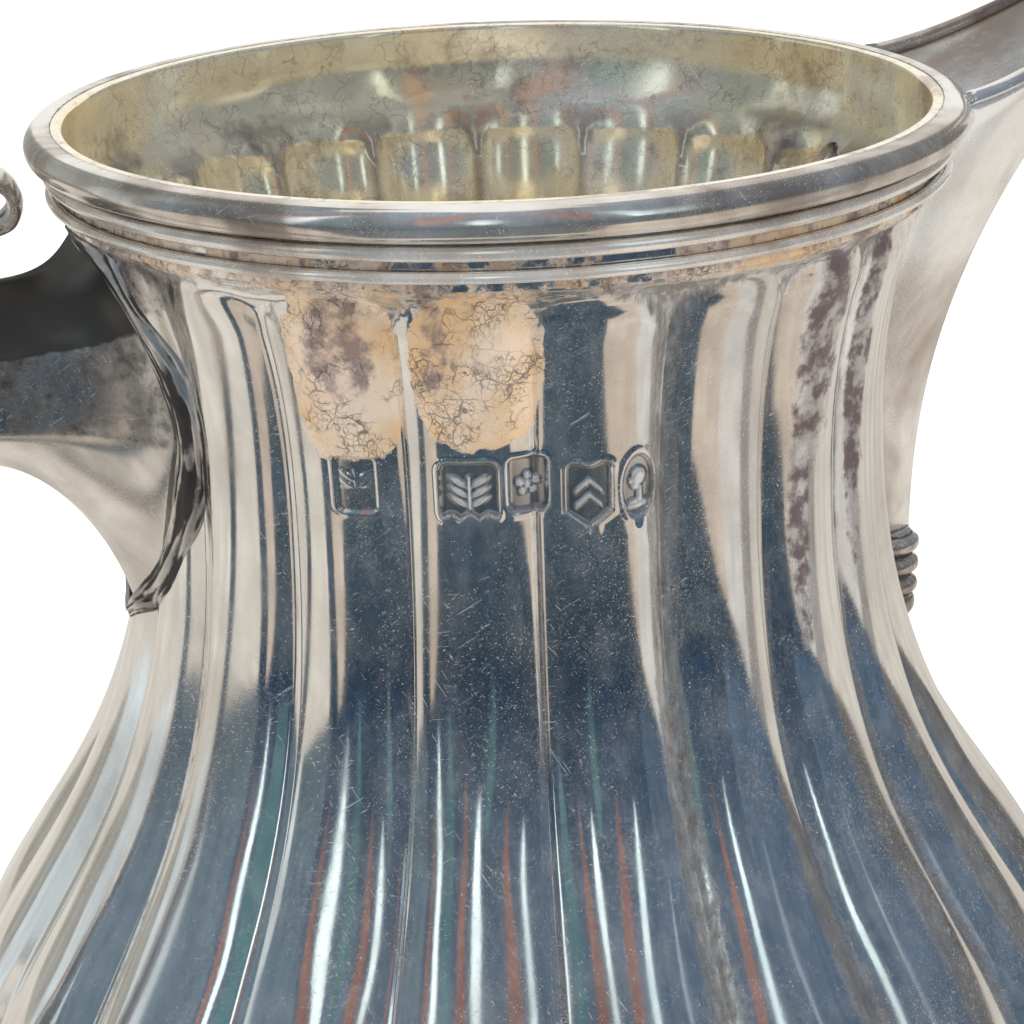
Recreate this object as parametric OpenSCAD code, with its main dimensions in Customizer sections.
// Silver cream jug: lobed pear-shaped body on a round foot, reeded rim,
// beak spout with a pierced strainer behind it, faceted scroll handle.
// Millimetres, +Z up, origin on the table under the axis of the body.
// The spout points along +X and the handle along -X.

/* [Body] */
// Height of the flat top of the rim above the table
rim_z = 135; // [130:1:145]
// Outer radius of the body just under the rim mouldings
collar_r = 33.7; // [33.5:0.1:33.8]
// Crest radius of the narrowest part of the neck
waist_r = 29.8; // [28:0.1:31]
// Depth of the waist below the rim
waist_drop = 25; // [22:0.5:30]
// Crest radius of the belly
belly_r = 49.5; // [46:0.5:50]
// Depth of the belly's widest ring below the rim
belly_drop = 83; // [80:1:88]
// Radius of the ring where the body meets its foot
seat_r = 20.5; // [19.5:0.5:22]
// Thickness of the raised silver wall
wall = 1.1; // [0.9:0.1:1.3]

/* [Lobes] */
// Number of lobes round the body
lobe_count = 20; // [16:4:24]
// Depth of the grooves between lobes, as a share of the local radius
groove_share = 0.036; // [0.01:0.002:0.045]

/* [Rim] */
// Outer radius of the large bead on the rim
rim_r = 36; // [36:0.1:36.5]
// Radius of the round section of that bead
rim_bead = 1.25; // [1.1:0.05:1.4]

/* [Spout] */
// Reach of the spout's tip from the body's axis
spout_reach = 57; // [52:0.5:60]
// Height of the spout's tip above the rim
spout_rise = 9; // [6:0.5:11]
// Half width of the spout's mouth where it meets the rim
spout_half = 11.2; // [10:0.2:13]
// Depth of the spout's lower point below the rim
spout_drop_z = 39; // [36:1:42]
// Thickness of the spout's wall
spout_wall = 1.1; // [0.9:0.1:1.3]
// Bore of the strainer holes in the wall behind the spout
strainer_d = 5; // [3:0.5:5]

/* [Handle] */
// Reach of the handle's outer bend, at its middle line
handle_reach = 78; // [72:1:82]
// Half height of the faceted section near the body
handle_half = 7.6; // [6.5:0.1:8]
// Wall of the hollow handle castings
handle_wall = 1.3; // [1:0.1:1.6]

/* [Foot] */
// Outer radius of the foot's edge
foot_r = 37.5; // [35:0.5:40]
// Height of the foot's edge wire
foot_edge_h = 3.2; // [2.6:0.1:4]
// Height of the ring on which the body is soldered
seat_z = 17; // [16:0.5:19]

/* [Hidden] */
$fn = 96;

// Rim mouldings: distances below the rim and section radii
collar_drop = 6;
collar_outer = collar_r + 0.2;
reed_upper_drop = 3.3;
reed_upper_r = 0.55;
reed_lower_drop = 4.95;
reed_lower_r = 0.4;
reed_stand = 0.4;
mouth_ease = 0.4;

// Body grid: points per lobe and rows in each stretch of the outline
lobe_points = 4;
ring_points = lobe_count * lobe_points;
neck_rows = 7;
shoulder_rows = 9;
belly_rows = 9;
disc_r = seat_r - 1.02;
disc_h = 1;
mouth_r = collar_outer - 0.5;

// Outline of the crests, one curve for each stretch, as [radius, height]
neck_curve = [
    [collar_r, rim_z - collar_drop],
    [collar_r - 2.1, rim_z - 10],
    [waist_r, rim_z - 15.5],
    [waist_r, rim_z - waist_drop]
];
shoulder_curve = [
    [waist_r, rim_z - waist_drop],
    [waist_r, rim_z - waist_drop - 34],
    [belly_r, rim_z - belly_drop + 22.5],
    [belly_r, rim_z - belly_drop]
];
belly_curve = [
    [belly_r, rim_z - belly_drop],
    [belly_r, rim_z - belly_drop - 15],
    [belly_r - 7, seat_z + 7.5],
    [seat_r, seat_z]
];

function lerp(a, b, t) = a + (b - a) * t;
function bezier(c, t) =
    c[0] * pow(1 - t, 3) + c[1] * 3 * t * pow(1 - t, 2)
    + c[2] * 3 * t * t * (1 - t) + c[3] * pow(t, 3);
function slope(c, t) =
    (c[1] - c[0]) * pow(1 - t, 2) + (c[2] - c[1]) * 2 * t * (1 - t) + (c[3] - c[2]) * t * t;
function unit(v) = v / norm(v);
function ease(t) = let (c = max(0, min(1, t))) c * c * (3 - 2 * c);

// A point of a curve moved by d to the right of its direction, which is into the body
function inset(c, t, d) = let (s = unit(slope(c, t))) bezier(c, t) + d * [s[1], -s[0]];

// Rows of [radius, height] from the seat up to the collar, at distance d inside the crests
function outline(d) = concat(
    [for (i = [0 : belly_rows - 1]) inset(belly_curve, 1 - i / belly_rows, d)],
    [for (i = [0 : shoulder_rows - 1]) inset(shoulder_curve, 1 - i / shoulder_rows, d)],
    [for (i = [0 : neck_rows]) inset(neck_curve, 1 - i / neck_rows, d)]
);

// Grooves fade out under the rim and towards the seat
function groove(r, z) =
    groove_share * r * ease((rim_z - collar_drop - z) / 6) * ease((z - seat_z - 1) / 12);
function lobe_phase(a) = abs((a * lobe_count / 360) % 1 - 0.5) * 2;
function lobe_r(r, z, a) = r - groove(r, z) * pow(lobe_phase(a), 2);

// One row of the body's grid, turned so that the crest of a lobe faces the spout
function ring(p) = [
    for (j = [0 : ring_points - 1])
        let (a = j * 360 / ring_points, r = lobe_r(p[0], p[1], a + 180 / lobe_count))
            [r * cos(a), r * sin(a), p[1]]
];

// Faces of a grid of rows by n points that closes both ways
function torus_faces(rows, n) = [
    for (i = [0 : rows - 1])
        for (j = [0 : n - 1])
            let (
                k = (i + 1) % rows, m = (j + 1) % n,
                a = i * n + j, b = i * n + m, c = k * n + m, d = k * n + j
            )
                each [[a, c, b], [a, d, c]]
];

// Faces of a grid of rows by n points that closes round each row, without its ends
function tube_faces(rows, n) = [
    for (i = [0 : rows - 2])
        for (j = [0 : n - 1])
            let (m = (j + 1) % n, a = i * n + j, b = i * n + m, c = a + n, d = b + n)
                each [[a, d, b], [a, c, d]]
];
function flip(faces) = [for (f = faces) [f[0], f[2], f[1]]];
function flatten(rows) = [for (r = rows) each r];

module body_shell() {
    outer = concat(outline(0), [[collar_outer, rim_z - collar_drop + 0.01], [collar_outer, rim_z]]);
    inner = concat([[seat_r - 1, seat_z]], [for (p = outline(wall)) if (p[1] > seat_z + 1) p]);
    mouth = [[mouth_r, rim_z], [mouth_r - mouth_ease, rim_z - mouth_ease]];
    back = [for (i = [len(inner) - 1 : -1 : 0]) inner[i]];
    rows = [for (p = concat(outer, mouth, back)) ring(p)];
    color("silver")
        difference() {
            polyhedron(flatten(rows), flip(torus_faces(len(rows), ring_points)), convexity = 8);
            strainer_holes();
        }
}

// Strainer: rows of holes that narrow downwards behind the spout
module strainer_holes() {
    pitch = 13.8;
    rows = [[9.9, [-1, 0, 1]], [16, [-0.5, 0.5]], [22, [0]]];
    for (row = rows)
        for (k = row[1])
            rotate([0, 0, k * pitch])
                translate([collar_r - 8, 0, rim_z - row[0]])
                    rotate([0, 90, 0])
                        cylinder(h = 12, d = strainer_d, $fn = 32);
}

module base_disc() {
    color("darkgray")
        translate([0, 0, seat_z])
            cylinder(h = disc_h, r = disc_r);
}

module rim_wire() {
    color("silver")
        rotate_extrude() {
            translate([rim_r - rim_bead, rim_z - rim_bead])
                circle(r = rim_bead, $fn = 48);
            translate([collar_outer, rim_z - 2 * rim_bead])
                square([rim_r - rim_bead - collar_outer, 2 * rim_bead]);
        }
}

module reed(drop, r) {
    color("silver")
        rotate_extrude() {
            translate([collar_outer + reed_stand, rim_z - drop])
                circle(r = r, $fn = 32);
            translate([collar_outer, rim_z - drop - r])
                square([reed_stand, 2 * r]);
        }
}

module rim_reed_upper() {
    reed(reed_upper_drop, reed_upper_r);
}

module rim_reed_lower() {
    reed(reed_lower_drop, reed_lower_r);
}

// Crest radius of the body at a height, and the radius that clears the rim mouldings too
crest_table = [for (p = outline(0)) [p[1], p[0]]];
contact_gap = 0.03;
clear_top_z = rim_z - 2 * rim_bead;
clear_low_z = rim_z - 7;
clear_low_r = lookup(clear_low_z, crest_table);
function clear_r(z) =
    contact_gap + (
        z > clear_top_z ? rim_r
        : z > clear_low_z ? lerp(clear_low_r, rim_r, (z - clear_low_z) / (clear_top_z - clear_low_z))
        : lookup(z, crest_table)
    );

// Spout: rows rise from the lower point to the lip, each row runs round the beak
spout_rows = 14;
spout_cols = 16;
spout_foot_z = rim_z - spout_drop_z;
spout_foot_half = 1.6;
lip_drop = 1.1;
spout_floor = 0.07;
keel_curve = [
    [waist_r + 4.5, spout_foot_z],
    [waist_r + 4.7, spout_foot_z + 10.4],
    [waist_r + 5.4, rim_z - 11.8],
    [spout_reach, rim_z + spout_rise]
];
spout_swell = 0.64;
edge_bow = [1.6, 2.4];
lip_sweep = 1.42;
keel_thin = 1.25;

// Point of the beak at height share f, u across from -1 to 1, thinned by t
function spout_point(f, u, t) =
    let (
        keel = bezier(keel_curve, f),
        g = (keel[1] - spout_foot_z) / (rim_z + spout_rise - spout_foot_z),
        half = lerp(spout_foot_half, spout_half, pow(g, spout_swell)) - t,
        edge_z = lerp(spout_foot_z, rim_z - lip_drop, g),
        edge_x = sqrt(pow(clear_r(edge_z), 2) - half * half),
        bow = pow(abs(u), lerp(edge_bow[0], edge_bow[1], g)),
        rise = pow(1 - bow, lerp(1, lip_sweep, g))
    )
        [lerp(keel[0] - keel_thin * t, edge_x, bow), half * u, lerp(edge_z, keel[1], rise)];
function spout_row(f, t) = [
    for (j = [0 : spout_cols]) spout_point(f, 2 * j / spout_cols - 1, t)
];

// Fan that closes a row of n + 1 points starting at index a
function fan(a, n) = [for (j = [1 : n - 1]) [a, a + j, a + j + 1]];

module spout_shell() {
    n = spout_cols + 1;
    outer = [for (i = [0 : spout_rows]) spout_row(i / spout_rows, 0)];
    inner = [for (i = [0 : spout_rows]) spout_row(lerp(spout_floor, 1, i / spout_rows), spout_wall)];
    base = len(outer) * n;
    last = spout_rows * n;
    skin = [
        for (i = [0 : spout_rows - 1])
            for (j = [0 : spout_cols - 1])
                let (a = i * n + j, b = a + 1, c = a + n, d = b + n)
                    each [[a, d, b], [a, c, d]]
    ];
    lining = [for (f = flip(skin)) [for (k = f) k + base]];
    lip = [
        for (j = [0 : spout_cols - 1])
            let (a = last + j, b = a + 1)
                each [[a, a + base, b + base], [a, b + base, b]]
    ];
    sides = [
        for (i = [0 : spout_rows - 1])
            let (a = i * n, b = a + n, c = a + spout_cols, d = c + n)
                each [
                    [a, a + base, b + base], [a, b + base, b],
                    [c, d + base, c + base], [c, d, d + base]
                ]
    ];
    back = [[0, spout_cols, spout_cols + base], [0, spout_cols + base, base]];
    floor_caps = concat(fan(0, spout_cols), flip(fan(base, spout_cols)));
    color("silver")
        polyhedron(
            flatten(concat(outer, inner)),
            concat(skin, lining, lip, sides, back, floor_caps),
            convexity = 6
        );
}

// Narrow moulded wire along the top of the beak, a little wider than the wall
lip_over = [0.3, 0.2];
lip_shoulder = 0.7;
lip_tall = 1.1;
module spout_lip_wire() {
    cols = 2 * spout_cols;
    rows = [
        for (j = [0 : cols])
            let (
                u = 2 * j / cols - 1,
                a = spout_point(1, u, 0),
                b = spout_point(1, u, spout_wall),
                n = unit([a[0] - b[0], a[1] - b[1], 0])
            )
                [
                    a + lip_over[0] * n,
                    a + lip_over[0] * n + [0, 0, lip_shoulder],
                    (a + b) / 2 + [0, 0, lip_tall],
                    b - lip_over[1] * n + [0, 0, lip_shoulder],
                    b - lip_over[1] * n
                ]
    ];
    end = cols * 5;
    caps = [[0, 1, 2, 3, 4], [end + 4, end + 3, end + 2, end + 1, end]];
    color("silver")
        polyhedron(flatten(rows), concat(tube_faces(cols + 1, 5), caps), convexity = 6);
}

// Banded drop that finishes the spout's lower point
module spout_drop() {
    bands = [[1.2, 1.75], [3.1, 1.6], [5, 1.4]];
    band_r = 0.8;
    ball_drop = 6.6;
    ball_r = 1.5;
    color("silver")
        difference() {
            translate([waist_r + 3.1, 0, spout_foot_z])
                rotate_extrude($fn = 48)
                    intersection() {
                        union() {
                            for (b = bands)
                                translate([b[1] - 0.4, -b[0]])
                                    circle(r = band_r, $fn = 24);
                            translate([0, -ball_drop])
                                circle(r = ball_r, $fn = 32);
                            translate([0, -ball_drop])
                                square([1.3, ball_drop]);
                        }
                        translate([0, -ball_drop - 4])
                            square([6, ball_drop + 4]);
                    }
            clear_core(spout_foot_z - 14, spout_foot_z + 4);
        }
}

// Round solid of the body's crests between two heights
module clear_core(low, high) {
    steps = 12;
    rotate_extrude()
        polygon(concat(
            [[0, low]],
            [for (i = [0 : steps]) let (z = lerp(low, high, i / steps)) [clear_r(z), z]],
            [[0, high]]
        ));
}

// Handle: the middle line leaves the neck, bends down and comes back to the belly
upper_path = [
    [-29.5, rim_z - 21],
    [-50, rim_z - 12.2],
    [-handle_reach - 8, rim_z - 18],
    [-handle_reach, rim_z - 48]
];
lower_path = [
    [-handle_reach, rim_z - 48],
    [-handle_reach + 5.3, rim_z - 68],
    [-handle_reach + 10, rim_z - 88],
    [-belly_r + 0.5, rim_z - 86]
];
path_start = 0.17;
path_end = 0.8;
upper_rows = 12;
lower_rows = 8;
root_rows = 6;
half_width = 4.8;
bend_half = [5.4, 4.3];
tail_half = [4.8, 4];
facet_thin = 1.15;
flare_start = 1.5;
flare_run = 5;
flare_narrow = 0.55;

// Half of the faceted section as [share of the half height, share of the half width]
facets = [[1, 0], [0.68, 0.5], [0.36, 1], [-0.07, 1], [-0.5, 1], [-0.75, 0.5], [-1, 0]];

// Where those seven points meet the neck and the belly, as [depth below the rim, half width]
root_marks = [[7, 0], [8.4, 8], [12, 10.4], [17, 12.7], [22.5, 12.8], [32.2, 8.4], [38.2, 0]];
socket_marks = [[96, 0], [93.3, 4.2], [89.6, 7.8], [86, 8.2], [81.6, 7.8], [78.3, 4.2], [75.6, 0]];

// Section across the handle at a point of a curve, on one side, thinned by t
function section(c, t, half, side, thin) =
    let (p = bezier(c, t), s = unit(slope(c, t)), n = [s[1], -s[0]])
        [
            for (f = facets)
                let (q = p + n * f[0] * (half[0] - facet_thin * thin))
                    [q[0], side * f[1] * (half[1] - thin), q[1]]
        ];

// The seven points on the body for one side, thinned by t
function marks_on_body(marks, side, thin) =
    let (
        mid = (marks[0][0] + marks[6][0]) / 2,
        span = abs(marks[0][0] - marks[6][0]) / 2,
        widest = max([for (m = marks) m[1]])
    )
        [
            for (m = marks)
                let (
                    z = rim_z - mid + (mid - m[0]) * (1 - facet_thin * thin / span),
                    y = side * m[1] * (1 - thin / widest)
                )
                    [-sqrt(pow(clear_r(z), 2) - y * y), y, z]
        ];

// Flared stretch between the body and a section, one curve for each of the seven points
function flare(root, sect, v) = [
    for (k = [0 : 6])
        let (q = root[k], s = sect[k], m = lerp(q, s, flare_narrow))
            bezier([q, [q[0] - flare_start, m[1], m[2]], s + [flare_run, 0, 0], s], v)
];

// Half height and half width of the section at a point of each curve
function upper_half(t) = lerp([handle_half, half_width], bend_half, ease((t - path_start) / 0.5));
function lower_half(t) = lerp(bend_half, tail_half, t);
function handle_rows(side, thin) =
    let (
        root = marks_on_body(root_marks, side, thin),
        first = section(upper_path, path_start, upper_half(path_start), side, thin)
    )
        concat(
            [for (i = [0 : root_rows - 1]) flare(root, first, i / root_rows)],
            [
                for (i = [0 : upper_rows - 1])
                    let (t = lerp(path_start, 1, i / upper_rows))
                        section(upper_path, t, upper_half(t), side, thin)
            ],
            [
                for (i = [0 : lower_rows])
                    let (t = path_end * i / lower_rows)
                        section(lower_path, t, lower_half(t), side, thin)
            ]
        );
function backwards(v) = [for (i = [len(v) - 1 : -1 : 0]) v[i]];

// One casting of the hollow handle, open along the middle plane
module handle_half(side) {
    outer = handle_rows(side, 0);
    inner = handle_rows(side, handle_wall);
    rows = [for (i = [0 : len(outer) - 1]) concat(outer[i], backwards(inner[i]))];
    n = 14;
    end = (len(rows) - 1) * n;
    strip = [for (k = [0 : 5]) [k, k + 1, n - 2 - k, n - 1 - k]];
    far_strip = [for (q = strip) [q[3] + end, q[2] + end, q[1] + end, q[0] + end]];
    faces = concat(tube_faces(len(rows), n), strip, far_strip);
    color("dimgray")
        polyhedron(
            flatten(rows),
            side > 0 ? faces : [for (f = faces) backwards(f)],
            convexity = 8
        );
}

module handle_half_left() {
    handle_half(-1);
}

module handle_half_right() {
    handle_half(1);
}

// Both sides of a row joined into one loop of twelve points
function loop(left, right) = concat(left, [for (k = [5 : -1 : 1]) right[k]]);

module handle_lower_socket() {
    function side_row(v, side, thin) =
        flare(
            marks_on_body(socket_marks, side, thin),
            section(lower_path, path_end, lower_half(path_end), side, thin),
            v
        );
    function row(v, thin) = loop(side_row(v, -1, thin), side_row(v, 1, thin));
    outer = [for (i = [0 : root_rows]) row(i / root_rows, 0)];
    inner = [for (i = [root_rows : -1 : 0]) row(i / root_rows, handle_wall)];
    rows = concat(outer, inner);
    color("gray")
        polyhedron(flatten(rows), torus_faces(len(rows), 12), convexity = 6);
}

// Solid handle without its cavity, for seating the thumb scroll
module handle_core() {
    left = handle_rows(-1, 0);
    right = handle_rows(1, 0);
    rows = [for (i = [root_rows : len(left) - lower_rows]) loop(left[i], right[i])];
    end = (len(rows) - 1) * 12;
    caps = [[for (k = [0 : 11]) k], [for (k = [11 : -1 : 0]) end + k]];
    polyhedron(flatten(rows), flip_all(concat(tube_faces(len(rows), 12), caps)), convexity = 4);
}
function flip_all(faces) = [for (f = faces) backwards(f)];

// Thumb scroll: springs from the handle's top and curls back towards the rim
scroll_eye = [-38.8, rim_z - 5];
scroll_r = [2.1, 1.15];
scroll_turn = 270;
scroll_half_width = [2.6, 3.6];
scroll_half_thick = [1.9, 0.6];
scroll_rise = [
    [-62, rim_z - 16],
    [-60.5, rim_z - 5],
    [-49, rim_z - 0.8],
    [scroll_eye[0], scroll_eye[1] + scroll_r[0]]
];
scroll_rise_rows = 9;
scroll_curl_rows = 11;

module thumb_scroll() {
    sides = 12;
    function curl(a) =
        scroll_eye + lerp(scroll_r[0], scroll_r[1], a / scroll_turn) * [sin(a), cos(a)];
    line = concat(
        [for (i = [0 : scroll_rise_rows - 1]) bezier(scroll_rise, i / scroll_rise_rows)],
        [for (i = [0 : scroll_curl_rows]) curl(scroll_turn * i / scroll_curl_rows)]
    );
    last = len(line) - 1;
    rows = [
        for (i = [0 : last])
            let (
                s = unit(line[min(i + 1, last)] - line[max(i - 1, 0)]),
                n = [s[1], -s[0]],
                half = lerp(scroll_half_width[0], scroll_half_width[1], ease(i / last)),
                thick = lerp(scroll_half_thick[0], scroll_half_thick[1], ease(i / last * 1.4))
            )
                [
                    for (j = [0 : sides - 1])
                        let (a = j * 360 / sides, q = line[i] + n * thick * cos(a))
                            [q[0], half * sin(a), q[1]]
                ]
    ];
    end = last * sides;
    caps = [[for (k = [sides - 1 : -1 : 0]) k], [for (k = [0 : sides - 1]) end + k]];
    color("silver")
        difference() {
            polyhedron(flatten(rows), concat(tube_faces(len(rows), sides), caps), convexity = 6);
            handle_core();
        }
}

// Foot
collar_wire_h = 2.4;
spool_top_z = seat_z - collar_wire_h;
spool_wall = 1.2;
spool_curve = [
    [seat_r - 1.3, spool_top_z],
    [seat_r - 3.6, spool_top_z - 7],
    [foot_r - 12, foot_edge_h + 3.8],
    [foot_r - 3, foot_edge_h]
];
spool_steps = 14;

module foot_collar_wire() {
    half = collar_wire_h / 2;
    color("silver")
        rotate_extrude() {
            translate([seat_r + 0.4, seat_z - half])
                circle(r = half, $fn = 32);
            translate([seat_r - 2.6, seat_z - collar_wire_h])
                square([3, collar_wire_h]);
        }
}

module foot_spool() {
    outside = [for (i = [0 : spool_steps]) bezier(spool_curve, i / spool_steps)];
    inside = [for (i = [spool_steps : -1 : 0]) bezier(spool_curve, i / spool_steps) - [spool_wall, 0]];
    lower = [for (p = inside) [p[0], max(foot_edge_h, p[1] - 0.7 * spool_wall)]];
    top = [[seat_r - 1.3 - spool_wall, spool_top_z]];
    color("silver")
        rotate_extrude()
            polygon(concat(outside, lower, top));
}

module foot_edge_wire() {
    bead = foot_edge_h / 2;
    color("silver")
        rotate_extrude() {
            translate([foot_r - bead, bead])
                circle(r = bead, $fn = 32);
            translate([foot_r - 5, 0])
                square([5 - bead, foot_edge_h]);
        }
}

body_shell();
base_disc();
rim_wire();
rim_reed_upper();
rim_reed_lower();
spout_shell();
spout_lip_wire();
spout_drop();
handle_half_left();
handle_half_right();
handle_lower_socket();
thumb_scroll();
foot_collar_wire();
foot_spool();
foot_edge_wire();
